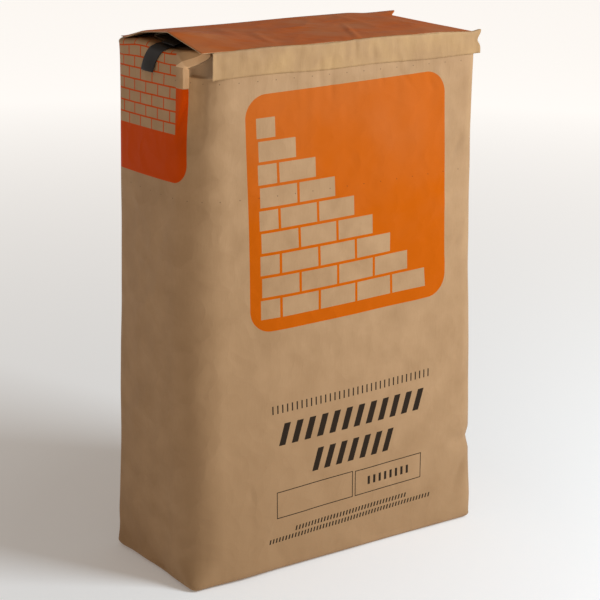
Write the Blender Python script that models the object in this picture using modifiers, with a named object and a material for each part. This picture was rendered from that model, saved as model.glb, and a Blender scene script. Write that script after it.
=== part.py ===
"""A filled cement bag: a kraft paper valve sack with block ends, standing on its bottom end.

Units are metres and Z is up. The origin is on the floor under the middle of the bag. The width
runs along X and the depth along Y. The printed front faces -Y, and the filling valve opens at the
top of the -X side.
"""

import math

import bmesh
import bpy
from mathutils import Vector

# Driving dimensions of the filled bag
HEIGHT = 0.550            # floor to the flat top of the block end
TOP_WIDTH = 0.337
BOTTOM_WIDTH = 0.3685     # the filling has settled and spread the foot
DEPTH = 0.163
LEAN = 0.0069             # how far the top stands over towards the valve's side
FACE_SWELL = 0.0058       # how far the filling bows the front and back out at the belly
SIDE_SWELL = 0.0048       # the same on the two narrow sides
BELLY_CORNER = 0.023      # radius of the upright corners at the belly
END_CORNER = 0.0096       # radius of the upright corners at both block ends
RIM = 0.0058              # rounding where the walls fold over into the ends
RING_HEIGHTS = (0.06, 0.14, 0.24, 0.36, 0.50, 0.64, 0.76, 0.86, 0.94)  # shares of the height
LOOP_SPACING = 0.060      # between the upright loops of the front and back

# Paper and clearances
WALL = 0.0006             # four plies of kraft paper
SHEET = 0.0005            # pasted cover sheet of heavy kraft
GAP = 0.0003              # between pieces that touch
BASE = SHEET + GAP        # the sack's own bottom lies on the bottom cover sheet

# Turned-down strip along the front of the top end
FLAP_LEFT = -0.1645
FLAP_RIGHT = 0.166        # stands out past the corner as a small ear
FLAP_DROP = 0.026
FLAP_THICK = 0.0008       # two plies

# Filling valve
MOUTH_HEIGHT = 0.0124     # how far the top sheet gapes over the sack at its peak
MOUTH_PEAK_Y = -0.0193
MOUTH_SHOULDER = 0.0044   # the gape that is left near the back corner
MOUTH_SHOULDER_Y = 0.050
MOUTH_FADE = 0.110        # the gape has closed this far in from the side
SLEEVE_LENGTH = 0.055
SLEEVE_WALL = 0.0003
SLEEVE_FRONT = 0.035      # half widths of the sleeve at its mouth, from the peak
SLEEVE_BACK = 0.048
SLEEVE_TAPER = 0.85       # inner end against mouth
SLOT = (0.008, 0.056)     # length and width of the hole through the sack's top under the sleeve's end

# Dark strip that hangs out of the valve
STRIP_WIDTH = 0.023
STRIP_THICK = 0.0005
STRIP_INSIDE = 0.037      # reach into the sleeve
STRIP_DROP = 0.0227       # reach down the side
STRIP_SLEW = 0.0445       # how far it swings towards the back on its way out
STRIP_START_Y = -0.023

TOP_LEFT = -LEAN - TOP_WIDTH / 2
TOP_RIGHT = -LEAN + TOP_WIDTH / 2
FRONT_Y = DEPTH / 2


def fresh_scene():
    """Removes every object and returns the bag's collection."""
    for old in list(bpy.data.objects):
        bpy.data.objects.remove(old, do_unlink=True)
    collection = bpy.data.collections.new("cement_bag")
    bpy.context.scene.collection.children.link(collection)
    return collection


def material(name, colour, roughness):
    """A plain paper-like material."""
    mat = bpy.data.materials.new(name)
    mat.use_nodes = True
    shader = mat.node_tree.nodes["Principled BSDF"]
    shader.inputs["Base Color"].default_value = (*colour, 1)
    shader.inputs["Roughness"].default_value = roughness
    shader.inputs["Metallic"].default_value = 0.0
    return mat


def add_piece(name, bm, mat, smooth=True):
    """Turns a bmesh into a named object in the bag's collection, under the bag's empty."""
    mesh = bpy.data.meshes.new(name)
    bm.to_mesh(mesh)
    bm.free()
    mesh.materials.append(mat)
    if smooth:
        mesh.shade_smooth()
        mesh.set_sharp_from_angle(angle=math.radians(35))
    piece = bpy.data.objects.new(name, mesh)
    bpy.data.collections["cement_bag"].objects.link(piece)
    piece.parent = bpy.data.objects["bag_origin"]
    return piece


def thicken(piece, thickness, offset):
    """Gives an open surface its paper thickness; offset 1 grows outwards and -1 inwards."""
    solidify = piece.modifiers.new("paper", "SOLIDIFY")
    solidify.thickness = thickness
    solidify.offset = offset
    solidify.use_even_offset = True


def belly(z):
    """0 at both ends of the bag and 1 at its belly."""
    return max(0.0, math.sin(math.pi * min(max(z / HEIGHT, 0.0), 1.0))) ** 0.7


def middle(z):
    """Where the middle of the bag's width stands at height z."""
    return -LEAN * z / HEIGHT


def half_width(z):
    """Half the width of the bag at height z, before the sides swell."""
    return (BOTTOM_WIDTH + (TOP_WIDTH - BOTTOM_WIDTH) * z / HEIGHT) / 2


def front_swell(x, z):
    """How far the front or back stands out of its flat plane; x is measured from the middle."""
    return FACE_SWELL * belly(z) * max(0.0, 1 - (x / half_width(z)) ** 2)


def side_swell(y, z):
    """How far a narrow side stands out of its flat plane."""
    return SIDE_SWELL * belly(z) * max(0.0, 1 - (y / FRONT_Y) ** 2)


def fill_out(point):
    """Moves a point of the straight block to where the filled paper holds it."""
    x, y, z = point
    sign_x, sign_y = math.copysign(1, x), math.copysign(1, y)
    radius = END_CORNER + (BELLY_CORNER - END_CORNER) * belly(z)
    reach = Vector((abs(x) - (BOTTOM_WIDTH / 2 - BELLY_CORNER), abs(y) - (FRONT_Y - BELLY_CORNER)))
    if reach.x > 0 and reach.y > 0:
        tight = reach.normalized() * (reach.length - BELLY_CORNER + radius)
        x = sign_x * (BOTTOM_WIDTH / 2 - radius + tight.x)
        y = sign_y * (FRONT_Y - radius + tight.y)
    x_share, y_share = abs(x) / (BOTTOM_WIDTH / 2), abs(y) / FRONT_Y
    x *= half_width(z) * 2 / BOTTOM_WIDTH
    return Vector((
        middle(z) + x + sign_x * x_share * side_swell(y, z),
        y + sign_y * y_share * front_swell(x, z),
        z,
    ))


def block_form(inset):
    """The filled bag's closed form, inset all round by the given distance."""
    bm = bmesh.new()
    bmesh.ops.create_cube(bm, size=1)
    tall = HEIGHT - BASE - 2 * inset
    bmesh.ops.scale(bm, vec=(BOTTOM_WIDTH - 2 * inset, DEPTH - 2 * inset, tall), verts=bm.verts)
    bmesh.ops.translate(bm, vec=(0, 0, BASE + inset + tall / 2), verts=bm.verts)
    upright = [e for e in bm.edges if abs(e.verts[0].co.z - e.verts[1].co.z) > tall / 2]
    bmesh.ops.bevel(bm, geom=upright, affect="EDGES", offset=BELLY_CORNER - inset, segments=5,
                    profile=0.5, material=-1)
    rims = [e for e in bm.edges if abs(e.verts[0].co.z - e.verts[1].co.z) < 1e-6]
    bmesh.ops.bevel(bm, geom=rims, affect="EDGES", offset=RIM - inset, segments=3,
                    profile=0.5, material=-1)
    for step in RING_HEIGHTS:
        cut(bm, (0, 0, HEIGHT * step), (0, 0, 1))
    for x in (-LOOP_SPACING * 2, -LOOP_SPACING, 0, LOOP_SPACING, LOOP_SPACING * 2):
        cut(bm, (x, 0, 0), (1, 0, 0))
    cut(bm, (0, 0, 0), (0, 1, 0))
    for vert in bm.verts:
        vert.co = fill_out(vert.co)
    return bm


def cut(bm, point, normal, faces=None):
    """Adds a loop of edges where a plane crosses the form, or only some of its faces."""
    if faces is None:
        faces = list(bm.faces)
    edges = {e for f in faces for e in f.edges}
    verts = {v for f in faces for v in f.verts}
    bmesh.ops.bisect_plane(bm, geom=[*faces, *edges, *verts], plane_co=point, plane_no=normal)


def gape(x, y):
    """How far the top sheet lifts off the sack over the valve: a tent with a low shoulder behind it."""
    if y < MOUTH_PEAK_Y:
        tent = MOUTH_HEIGHT * (y + FRONT_Y) / (MOUTH_PEAK_Y + FRONT_Y)
    elif y < MOUTH_SHOULDER_Y:
        share = (y - MOUTH_PEAK_Y) / (MOUTH_SHOULDER_Y - MOUTH_PEAK_Y)
        tent = MOUTH_HEIGHT + (MOUTH_SHOULDER - MOUTH_HEIGHT) * share
    else:
        tent = MOUTH_SHOULDER * (FRONT_Y - y) / (FRONT_Y - MOUTH_SHOULDER_Y)
    inward = min(max((x - TOP_LEFT) / MOUTH_FADE, 0), 1)
    return max(tent, 0) * math.cos(inward * math.pi / 2) ** 2


def make_sack(paper):
    """The four-ply tube with its folded ends, open through a slot under the valve sleeve."""
    bm = block_form(0)
    slot_x = TOP_LEFT + SLEEVE_LENGTH + RIM
    half = SLOT[1] / 2
    planes = (
        ((slot_x, 0, 0), (1, 0, 0)), ((slot_x + SLOT[0], 0, 0), (1, 0, 0)),
        ((0, MOUTH_PEAK_Y - half, 0), (0, 1, 0)), ((0, MOUTH_PEAK_Y + half, 0), (0, 1, 0)),
    )
    for point, normal in planes:
        top = [f for f in bm.faces if f.normal.z > 0.99]
        cut(bm, point, normal, top)
    opened = [
        f for f in bm.faces
        if f.normal.z > 0.99
        and slot_x < f.calc_center_median().x < slot_x + SLOT[0]
        and abs(f.calc_center_median().y - MOUTH_PEAK_Y) < half
    ]
    bmesh.ops.delete(bm, geom=opened, context="FACES")
    thicken(add_piece("kraft_sack", bm, paper), WALL, -1)


def make_fill(cement):
    """The cement that the sack is packed with."""
    add_piece("cement_fill", block_form(WALL + GAP), cement)


def sheet_grid(columns, rows, low, high):
    """A flat grid of paper in the XY plane between two corners."""
    bm = bmesh.new()
    bmesh.ops.create_grid(bm, x_segments=columns, y_segments=rows, size=0.5)
    size = (high[0] - low[0], high[1] - low[1], 1)
    bmesh.ops.scale(bm, vec=size, verts=bm.verts)
    bmesh.ops.translate(bm, vec=((low[0] + high[0]) / 2, (low[1] + high[1]) / 2, 0), verts=bm.verts)
    return bm


def make_top_sheet(printed):
    """The pasted cover of the top end, which gapes over the valve."""
    hem = 0.001
    bm = sheet_grid(24, 16, (TOP_LEFT + hem, -FRONT_Y), (TOP_RIGHT - hem, FRONT_Y - hem))
    for crease_y in (MOUTH_PEAK_Y, MOUTH_SHOULDER_Y):
        cut(bm, (0, crease_y, 0), (0, 1, 0))
    for vert in bm.verts:
        vert.co.z = HEIGHT + GAP + gape(vert.co.x, vert.co.y)
    thicken(add_piece("top_cover_sheet", bm, printed), SHEET, 1)


def make_bottom_sheet(paper):
    """The pasted cover of the bottom end, which the bag stands on."""
    edge = RIM + 0.002
    reach_x, reach_y = BOTTOM_WIDTH / 2 - edge, FRONT_Y - edge
    bm = bmesh.new()
    bmesh.ops.create_cube(bm, size=1)
    bmesh.ops.scale(bm, vec=(2 * reach_x, 2 * reach_y, SHEET), verts=bm.verts)
    bmesh.ops.translate(bm, vec=(0, 0, SHEET / 2), verts=bm.verts)
    add_piece("bottom_cover_sheet", bm, paper, smooth=False)


def make_flap(paper):
    """The strip that is folded down over the front's top edge."""
    bm = sheet_grid(12, 4, (FLAP_LEFT, -FLAP_DROP), (FLAP_RIGHT, 0))
    for vert in bm.verts:
        x, drop = vert.co.x, vert.co.y
        z = HEIGHT + GAP + drop
        vert.co = (x, -FRONT_Y - GAP - front_swell(x - middle(z), z), z)
    thicken(add_piece("front_flap", bm, paper), FLAP_THICK, 1)


def make_sleeve(paper):
    """The flattened paper tube that the filling spout goes into."""
    bm = bmesh.new()
    bmesh.ops.create_cone(bm, cap_ends=False, segments=20, radius1=1, radius2=1, depth=1)
    long_edges = [e for e in bm.edges if abs(e.verts[0].co.z - e.verts[1].co.z) > 0.5]
    bmesh.ops.subdivide_edges(bm, edges=long_edges, cuts=3)
    floor = HEIGHT + GAP
    mouth = TOP_LEFT + RIM
    for vert in bm.verts:
        inward = vert.co.z + 0.5
        x = mouth + inward * (SLEEVE_LENGTH - RIM)
        taper = 1 + (SLEEVE_TAPER - 1) * inward
        y = MOUTH_PEAK_Y + vert.co.x * taper * (SLEEVE_BACK if vert.co.x > 0 else SLEEVE_FRONT)
        room = gape(x, y) - 2 * GAP
        vert.co = (x, y, floor + room * (0.5 + 0.5 * math.copysign(1, vert.co.y))
                   if abs(vert.co.y) > 0.01 else floor + room / 2)
    thicken(add_piece("valve_sleeve", bm, paper), SLEEVE_WALL, -1)


def make_strip(film):
    """The dark strip that comes out of the valve and hangs over the side."""
    lift = 3 * GAP + SLEEVE_WALL
    bend = (RIM + lift) * math.pi / 2
    flat = STRIP_INSIDE - RIM
    length = flat + bend + STRIP_DROP
    bm = sheet_grid(24, 2, (0, -STRIP_WIDTH / 2), (length, STRIP_WIDTH / 2))
    for vert in bm.verts:
        along, across = vert.co.x, vert.co.y
        share = along / length
        y = STRIP_START_Y + across + STRIP_SLEW * share ** 2
        if along < flat:
            x, z = TOP_LEFT + RIM + flat - along, HEIGHT + lift
        elif along < flat + bend:
            turn = (along - flat) / (RIM + lift)
            x = TOP_LEFT + RIM - (RIM + lift) * math.sin(turn)
            z = HEIGHT - RIM + (RIM + lift) * math.cos(turn)
        else:
            z = HEIGHT - RIM - (along - flat - bend)
            x = middle(z) - half_width(z) - side_swell(y, z) - lift
        vert.co = (x, y, z)
    thicken(add_piece("valve_strip", bm, film), STRIP_THICK, -1)


def main():
    fresh_scene()
    origin = bpy.data.objects.new("bag_origin", None)
    bpy.data.collections["cement_bag"].objects.link(origin)
    kraft = material("kraft_paper", (0.46, 0.29, 0.15), 0.75)
    printed = material("printed_kraft", (0.42, 0.12, 0.02), 0.6)
    make_sack(kraft)
    make_fill(material("cement_powder", (0.35, 0.34, 0.33), 0.95))
    make_top_sheet(printed)
    make_bottom_sheet(kraft)
    make_flap(kraft)
    make_sleeve(kraft)
    make_strip(material("black_film", (0.02, 0.016, 0.015), 0.5))


main()
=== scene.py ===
"""The looks of a filled cement bag: a pasted kraft paper valve sack standing on its block bottom.

Laid out as a Blender add-on and run as a script. Units are metres and Z is up. The printed front
faces -Y, and the filling valve opens at the top of the -X side. Every piece is built around the
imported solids, in their own frame.
"""

import math

import bmesh
import bpy
from bpy.props import FloatProperty, FloatVectorProperty, PointerProperty
from mathutils import Matrix, Vector, noise


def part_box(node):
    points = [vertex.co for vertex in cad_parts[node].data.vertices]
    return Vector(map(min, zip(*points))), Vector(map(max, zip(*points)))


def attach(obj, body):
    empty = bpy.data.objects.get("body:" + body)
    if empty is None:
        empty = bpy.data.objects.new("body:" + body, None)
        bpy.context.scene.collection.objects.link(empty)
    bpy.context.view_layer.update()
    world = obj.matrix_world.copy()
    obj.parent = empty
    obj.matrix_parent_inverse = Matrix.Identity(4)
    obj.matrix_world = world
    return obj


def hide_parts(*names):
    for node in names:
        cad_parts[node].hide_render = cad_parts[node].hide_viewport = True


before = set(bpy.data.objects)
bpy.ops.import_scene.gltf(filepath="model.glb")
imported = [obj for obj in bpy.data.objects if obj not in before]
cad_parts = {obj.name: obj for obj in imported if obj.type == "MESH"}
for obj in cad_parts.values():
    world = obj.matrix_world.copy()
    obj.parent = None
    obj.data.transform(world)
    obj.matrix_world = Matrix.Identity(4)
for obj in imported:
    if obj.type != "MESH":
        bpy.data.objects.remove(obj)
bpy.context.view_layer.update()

bl_info = {
    "name": "Cement bag",
    "version": (1, 0, 0),
    "blender": (4, 5, 0),
    "location": "View3D > Sidebar > Cement bag",
    "description": "Builds a filled kraft paper valve sack around its packed solids",
    "category": "Add Mesh",
}

SACK_LOW, SACK_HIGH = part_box("kraft_sack")
COVER_LOW, COVER_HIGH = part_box("top_cover_sheet")
FLAP_LOW, FLAP_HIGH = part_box("front_flap")
SLEEVE_LOW, SLEEVE_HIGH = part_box("valve_sleeve")
FILM_LOW, FILM_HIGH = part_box("valve_strip")

HEM = 0.001               # how far the top cover stays clear of the block end's edges
GAP = 0.0003              # between pieces that touch
SHEET = 0.0005            # thickness of the top cover
PLY = 0.0003              # thickness of the strip's and the sleeve's paper
FILM = 0.0004             # thickness of the valve's film


def linear(code):
    """The linear colour of an sRGB hex code."""
    shares = [int(code[i:i + 2], 16) / 255 for i in (1, 3, 5)]
    return [c / 12.92 if c <= 0.04045 else ((c + 0.055) / 1.055) ** 2.4 for c in shares]


def smooth(low, high, value):
    """0 at low, 1 at high and a smooth step between; low may be the larger one."""
    t = min(max((value - low) / (high - low), 0.0), 1.0)
    return t * t * (3 - 2 * t)


def ramp(low, high, value):
    """0 at low, 1 at high and a straight line between; low may be the larger one."""
    return min(max((value - low) / (high - low), 0.0), 1.0)


def hump(value, middle, reach):
    """1 at the middle, fading to 0 on both sides of it like a bell."""
    return math.exp(-((value - middle) / reach) ** 2)


def metres(name, description, default):
    """A length that a user can change."""
    return FloatProperty(name=name, description=description, default=default, unit="LENGTH")


def tint(name, description, code):
    """A colour that a user can change, given as an sRGB hex code."""
    return FloatVectorProperty(name=name, description=description, subtype="COLOR", size=3,
                               default=linear(code))


class BagSizes(bpy.types.PropertyGroup):
    """Sizes of the filled sack and its top."""

    height: metres("Height", "From the floor to the top of the block end", SACK_HIGH.z)
    base: metres("Base", "Height of the sack's own bottom above the floor", SACK_LOW.z)
    top_width: metres("Top width", "Width of the top block end", COVER_HIGH.x - COVER_LOW.x + 2 * HEM)
    bottom_width: metres("Bottom width", "Width of the bottom block end", 0.3685)
    depth: metres("Depth", "Depth of both block ends", -2 * COVER_LOW.y)
    lean: metres(
        "Lean", "How far the top stands over towards the valve's side", -(COVER_HIGH.x + COVER_LOW.x) / 2)
    face_swell: metres(
        "Face swell", "How far the filling bows the front and back out", SACK_HIGH.y + COVER_LOW.y)
    side_swell: metres("Side swell", "How far the filling bows the narrow sides out", 0.0048)
    corner: metres("Belly corner", "Radius of the upright corners at the belly", 0.024)
    soft_corner: metres("Valve corner", "Radius of the front corner by the valve, the softest one", 0.037)
    end_corner: metres("End corner", "Radius of the upright corners at both block ends", 0.0085)
    rim: metres("Rim", "Rounding where the walls fold over into the ends", 0.0058)
    cell: metres("Cell", "Size of the sack's mesh faces", 0.0028)
    cover_cell: metres("Cover cell", "Size of the mesh faces of the sheets on top", 0.0022)


class ValveSizes(bpy.types.PropertyGroup):
    """Sizes of the filling valve's gaping mouth."""

    gape: metres(
        "Gape", "How far the top sheet lifts off the sack at its peak",
        COVER_HIGH.z - SHEET - GAP - SACK_HIGH.z)
    peak: metres("Peak", "Where along the side the top sheet stands highest", -0.0193)
    shoulder: metres("Shoulder", "The gape that is left near the back corner", 0.0044)
    shoulder_place: metres("Shoulder place", "Where along the side the shoulder lies", 0.050)
    fade: metres("Fade", "How far in from the side the gape has closed", 0.110)
    sag: metres("Lip sag", "How far the sack's own top sags under the mouth", 0.0034)


class PrintSizes(bpy.types.PropertyGroup):
    """Sizes of the flat prints, measured round the bag from the middle of the front."""

    slant: FloatProperty(
        name="Slant", description="How far the front print is turned on the bag",
        default=math.radians(1.43), subtype="ANGLE")
    shift: metres("Shift", "How far the front print lies off the middle at the floor", 0.0155)
    panel_reach: metres("Panel reach", "Half the width of the orange panel", 0.1228)
    panel_low: metres("Panel foot", "Height of the panel's lower edge", 0.2685)
    panel_high: metres("Panel top", "Height of the panel's upper edge", 0.509)
    panel_round: metres("Panel corner", "Radius of the panel's corners", 0.024)
    brick: metres("Brick", "Length of a printed brick; it is half as high", 0.046)
    flank_low: metres("Side block foot", "Height of the side block's lower edge", 0.421)
    flank_right: metres("Side block edge", "Where round the bag the side block ends at the front", -0.1892)
    flank_slant: FloatProperty(
        name="Side slant", description="How far the side print is turned on the bag",
        default=math.radians(-1.9), subtype="ANGLE")


class BagColours(bpy.types.PropertyGroup):
    """Colours of the bag's paper, inks and filling."""

    kraft: tint("Kraft", "Unprinted kraft paper", "#B08B64")
    kraft_dark: tint("Kraft fibre", "Darker fibres and mottling of the kraft paper", "#A07C56")
    strip: tint("Strip", "Yellower paper of the turned-down front strip", "#B48F60")
    cut_edge: tint("Cut edge", "Pale fibres of a cut paper edge", "#C9B08C")
    orange: tint("Orange ink", "Flexographic ink of the printed blocks", "#BA5602")
    # Painted light: a redder copy of the orange ink for the narrow side, for the warmer light that falls
    # there
    orange_side_warm_light: tint("Orange ink, side", "The same ink laid on thicker on the narrow side", "#C44400")
    # Painted highlight: paler paper for the folds by the valve, where they catch the light
    fold_highlight: tint("Worn fold", "Paper that folding has rubbed pale", "#DDB488")
    # Painted shade: a dark brown for the valve's sleeve and the ply inside the folds, where they lie in shade
    inside: tint("Sleeve paper", "Dusty brown paper of the valve's sleeve", "#6E5A46")
    ink: tint("Black ink", "Ink of the rules and boxes", "#2E241B")
    film: tint("Valve film", "Dark film strip of the valve", "#1F1916")
    cement: tint("Cement", "Grey cement powder", "#8C8A84")
    floor: tint("Floor", "Pale studio floor", "#F2F2F0")


# Creases pressed into the sack's paper: where each starts and ends, round the bag from the middle
# of the front and up it, then its half width and how far it stands out
CREASES = (
    (0.1400, 0.4215, 0.1520, 0.4430, 0.0075, -0.0016),
    (0.1340, 0.3740, 0.1580, 0.3890, 0.0085, -0.0017),
    (0.1440, 0.3220, 0.1590, 0.3450, 0.0070, -0.0016),
    (0.1540, 0.0420, 0.1690, 0.0740, 0.0075, -0.0018),
    (0.1500, 0.0940, 0.1950, 0.0960, 0.0130, -0.0034),
    (0.1060, 0.3590, 0.1300, 0.3760, 0.0110, 0.0009),
    (0.0900, 0.2760, 0.1330, 0.3080, 0.0130, 0.0009),
    (-0.0600, 0.0160, 0.0100, 0.0300, 0.0140, 0.0009),
    (-0.2797, 0.2745, -0.2288, 0.3133, 0.0160, 0.0013),
    (-0.3060, 0.1478, -0.2631, 0.1882, 0.0180, 0.0013),
    (-0.2678, 0.0715, -0.2042, 0.0778, 0.0170, -0.0010),
    (0.2300, 0.4300, 0.2800, 0.4000, 0.0150, 0.0014),
    (0.2200, 0.1500, 0.2700, 0.1800, 0.0160, -0.0012),
    (0.4600, 0.3600, 0.5400, 0.3300, 0.0180, 0.0012),
    (-0.4400, 0.1400, -0.3900, 0.1700, 0.0160, 0.0012),
    (0.0669, 0.5160, 0.0853, 0.4965, 0.0046, -0.0009),
    (0.0434, 0.5173, 0.0440, 0.5030, 0.0042, -0.0007),
    (0.1039, 0.5062, 0.1123, 0.4926, 0.0044, -0.0008),
    (0.1155, 0.5132, 0.1223, 0.5046, 0.0042, 0.0007),
    (-0.0187, 0.5340, -0.0178, 0.4970, 0.0044, -0.0008),
    (-0.0321, 0.5340, -0.0321, 0.5120, 0.0042, -0.0007),
    (0.0669, 0.5366, 0.0737, 0.5176, 0.0046, 0.0009),
)

# Creases of the top sheet, from above: start, end, half width and height
COVER_CREASES = (
    (-0.0742, 0.0456, -0.0910, -0.0211, 0.0120, 0.0009),
    (-0.0563, 0.0128, -0.0848, -0.0669, 0.0080, 0.0009),
    (-0.0673, 0.0280, -0.0847, -0.0587, 0.0050, -0.0005),
    (-0.1279, 0.0524, -0.1409, 0.0067, 0.0090, 0.0005),
    (0.0527, 0.0022, 0.0116, -0.0752, 0.0050, 0.0013),
    (0.0046, -0.0373, -0.0100, -0.0727, 0.0070, -0.0006),
    (0.0884, 0.0694, 0.0806, -0.0026, 0.0080, 0.0008),
    (0.1262, 0.0488, 0.1290, -0.0185, 0.0090, 0.0012),
    (0.1371, 0.0771, 0.1312, 0.0238, 0.0050, -0.0006),
    (-0.0077, 0.0147, 0.0078, 0.0165, 0.0100, 0.0007),
)


def pressed(strokes, x, y):
    """How far the strokes' creases lift the paper at a point: each is a tent along its line."""
    lift = 0.0
    for x0, y0, x1, y1, reach, height in strokes:
        run = Vector((x1 - x0, y1 - y0))
        share = Vector((x - x0, y - y0)).dot(run) / run.length_squared
        if -0.3 < share < 1.3:
            off = abs((x - x0) * run.y - (y - y0) * run.x) / run.length
            if off < reach:
                fade = smooth(-0.3, 0.3, share) * smooth(1.3, 0.7, share)
                lift += height * (1 - off / reach) * fade
    return lift


class SackForm:
    """The outer form of the filled sack: where the paper holds each point of a straight block."""

    def __init__(self, sizes, valve):
        self.height, self.base, self.lean = sizes.height, sizes.base, sizes.lean
        self.top_half, self.half = sizes.top_width / 2, sizes.bottom_width / 2
        self.front = sizes.depth / 2
        self.face_swell, self.side_swell = sizes.face_swell, sizes.side_swell
        self.corner, self.belly_corner, self.rim = sizes.end_corner, sizes.corner, sizes.rim
        self.soft_corner = sizes.soft_corner
        self.valve = valve
        self.left = -sizes.lean - self.top_half
        self.right = -sizes.lean + self.top_half

    def belly(self, z):
        """0 at both ends of the bag and 1 at its belly."""
        return max(0.0, math.sin(math.pi * min(max(z / self.height, 0.0), 1.0))) ** 0.7

    def middle(self, z):
        """Where the middle of the bag's width stands at height z."""
        return -self.lean * z / self.height

    def half_width(self, z):
        """Half the width of the bag at height z, before the sides swell: a slight barrel."""
        straight = self.half + (self.top_half - self.half) * z / self.height
        return straight + 0.0016 * math.sin(math.pi * min(max(z / self.height, 0.0), 1.0))

    def front_swell(self, x, z):
        """How far the front and back stand out of their flat planes; x is measured from the middle."""
        slack = 0.0042 * smooth(-0.070, -0.165, x)
        return (self.face_swell * max(0.0, 1 - (x / self.half_width(z)) ** 2) - slack) * self.belly(z)

    def flank_swell(self, x, y, z):
        """How far a narrow side stands out; the one off the valve also sags outwards low down."""
        sag = 0.0021 * smooth(0.34, 0.20, z) * smooth(0.0, 0.03, z) if x > 0 else 0.0
        return sag + self.side_swell * self.belly(z) * max(0.0, 1 - (y / self.front) ** 2)

    def radius(self, rest):
        """Radius of the upright corner nearest to a point; the front one by the valve is the softest."""
        if rest[0] < 0 and rest[1] < 0:
            soft = min(ramp(self.height + 0.002, self.height - 0.026, rest[2]),
                       ramp(self.base, self.base + 0.030, rest[2]))
            return self.corner + (self.soft_corner - self.corner) * soft
        return self.corner + (self.belly_corner - self.corner) * self.belly(rest[2])

    def fill_out(self, rest):
        """Tapers the block, softens its corners and swells its faces."""
        x, y, z = rest
        sign_x, sign_y = math.copysign(1, x), math.copysign(1, y)
        radius = self.radius(rest)
        reach = Vector((abs(x) - self.half + radius, abs(y) - self.front + radius))
        if min(reach) > 0 and reach.length > radius:
            pulled = reach.normalized() * radius
            x = sign_x * (self.half - radius + pulled.x)
            y = sign_y * (self.front - radius + pulled.y)
        x_share, y_share = abs(x) / self.half, abs(y) / self.front
        x *= self.half_width(z) / self.half
        return Vector((
            self.middle(z) + x + sign_x * x_share * self.flank_swell(x, y, z),
            y + sign_y * y_share * self.front_swell(x, z),
            z,
        ))

    def outward(self, rest):
        """The direction that the block's surface faces at a point of it."""
        radius = self.radius(rest)
        across = Vector((
            math.copysign(max(abs(rest.x) - self.half + radius, 0.0), rest.x),
            math.copysign(max(abs(rest.y) - self.front + radius, 0.0), rest.y), 0.0))
        above = rest.z - self.height + self.rim
        below = self.base + self.rim - rest.z
        tilt = min(max(above, below, 0.0) / self.rim, 1.0)
        side = across.normalized() if across.length > 1e-6 else Vector((0, 0, 0))
        upward = math.copysign(tilt, above + self.height / 2)
        return side * math.sqrt(max(1 - tilt * tilt, 0.0)) + Vector((0, 0, upward))

    def wrap(self, rest):
        """Metres round the bag from the middle of the front; the -X side is negative."""
        shrink = self.half_width(rest.z) / self.half
        flat, b, r = (self.half - self.corner) * shrink, self.front - self.corner, self.corner
        x, y = abs(rest.x) * shrink, rest.y
        reach = abs(rest.x) - self.half + self.corner
        quarter = r * math.pi / 2
        if reach > 0 and abs(y) > b:
            turn = math.atan2(reach, abs(y) - b) * r
            round_ = flat + turn if y < 0 else flat + quarter * 2 + 2 * b - turn
        elif reach > 0:
            round_ = flat + quarter + y + b
        elif y < 0:
            round_ = x
        else:
            round_ = 2 * flat + quarter * 2 + 2 * b - x
        return math.copysign(round_, rest.x)

    def ruffle(self, rest):
        """How far the paper's own unevenness lifts it along its outward direction."""
        at = Vector(rest)
        swell = noise.noise(Vector((at.x / 0.11, at.y / 0.09, at.z / 0.15))) * 0.0015
        cockle = noise.noise(Vector((at.x / 0.035, at.y / 0.035 + 5, at.z / 0.05))) * 0.0006
        fold = noise.noise(Vector((at.x / 0.010, at.y / 0.010, at.z / 0.09 + 9))) * 0.00045
        near_top = smooth(self.height - 0.12, self.height - 0.04, at.z)
        near_foot = smooth(self.base + 0.07, self.base + 0.015, at.z)
        return swell + cockle + fold * (0.12 + 0.88 * max(near_top, near_foot * 0.7))

    def tuck(self, place, u, z):
        """Folds the paper behind the strip's left end flat, to an upright plane under a slanted roof."""
        facing = Vector((-0.966, -0.259, 0.0))
        through = Vector((self.left + 0.0085, -0.056, z))
        floor = self.height - 0.0255
        roof = self.height - 0.0160 + 0.0165 * ramp(-0.1900, -0.1555, u)
        inside = min(ramp(floor, floor + 0.0018, z), ramp(roof, roof - 0.0012, z))
        inside *= ramp(-0.1912, -0.1890, u) * ramp(-0.146, -0.151, u)
        return place - facing * (place - through).dot(facing) * inside

    def step(self, u, z):
        """Depth of the upright fold beside the pocket: the paper steps in, then runs out slowly."""
        edge = -0.1952 - 0.0110 * ramp(self.height - 0.045, self.height - 0.075, z)
        across = min(ramp(edge, edge + 0.0024, u), ramp(edge + 0.045, edge + 0.0024, u))
        return 0.0038 * across * ramp(self.height - 0.0145, self.height - 0.0175, z) * smooth(
            self.height - 0.105, self.height - 0.045, z)

    def chamfer(self, place):
        """Cuts the top corner by the valve off with a slanted facet."""
        facing = Vector((-0.86, -0.25, 0.44)).normalized()
        through = Vector((self.left - 0.0006, -0.057, self.height - 0.0150))
        near = smooth(-0.030, -0.046, place.y)
        over = max((place - through).dot(facing), 0.0)
        return place - facing * over * near

    def foot(self, u, z):
        """How the foot bulges and draws in round the bag, where it stands on the floor."""
        toe = 0.0042 * hump(u, -0.328, 0.018) * smooth(0.030, 0.0, z)
        bulge = 0.0032 * hump(u, -0.120, 0.040)
        hollow = 0.0030 * hump(u, 0.075, 0.050)
        dent = 0.0050 * hump(u, -0.248, 0.016) * smooth(0.035, 0.0, z)
        return (toe + bulge - hollow - dent) * smooth(0.075, 0.0, z)

    def slump(self, x, y):
        """How far the block end slopes down to its back left corner and to its right end."""
        corner = 0.0034 * smooth(0.034, 0.078, y) * smooth(self.left + 0.032, self.left + 0.004, x)
        back = 0.0011 * smooth(0.060, -0.060, x) * smooth(0.0, 0.070, y)
        return corner + back + 0.0036 * smooth(self.right - 0.055, self.right + 0.004, x)

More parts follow.
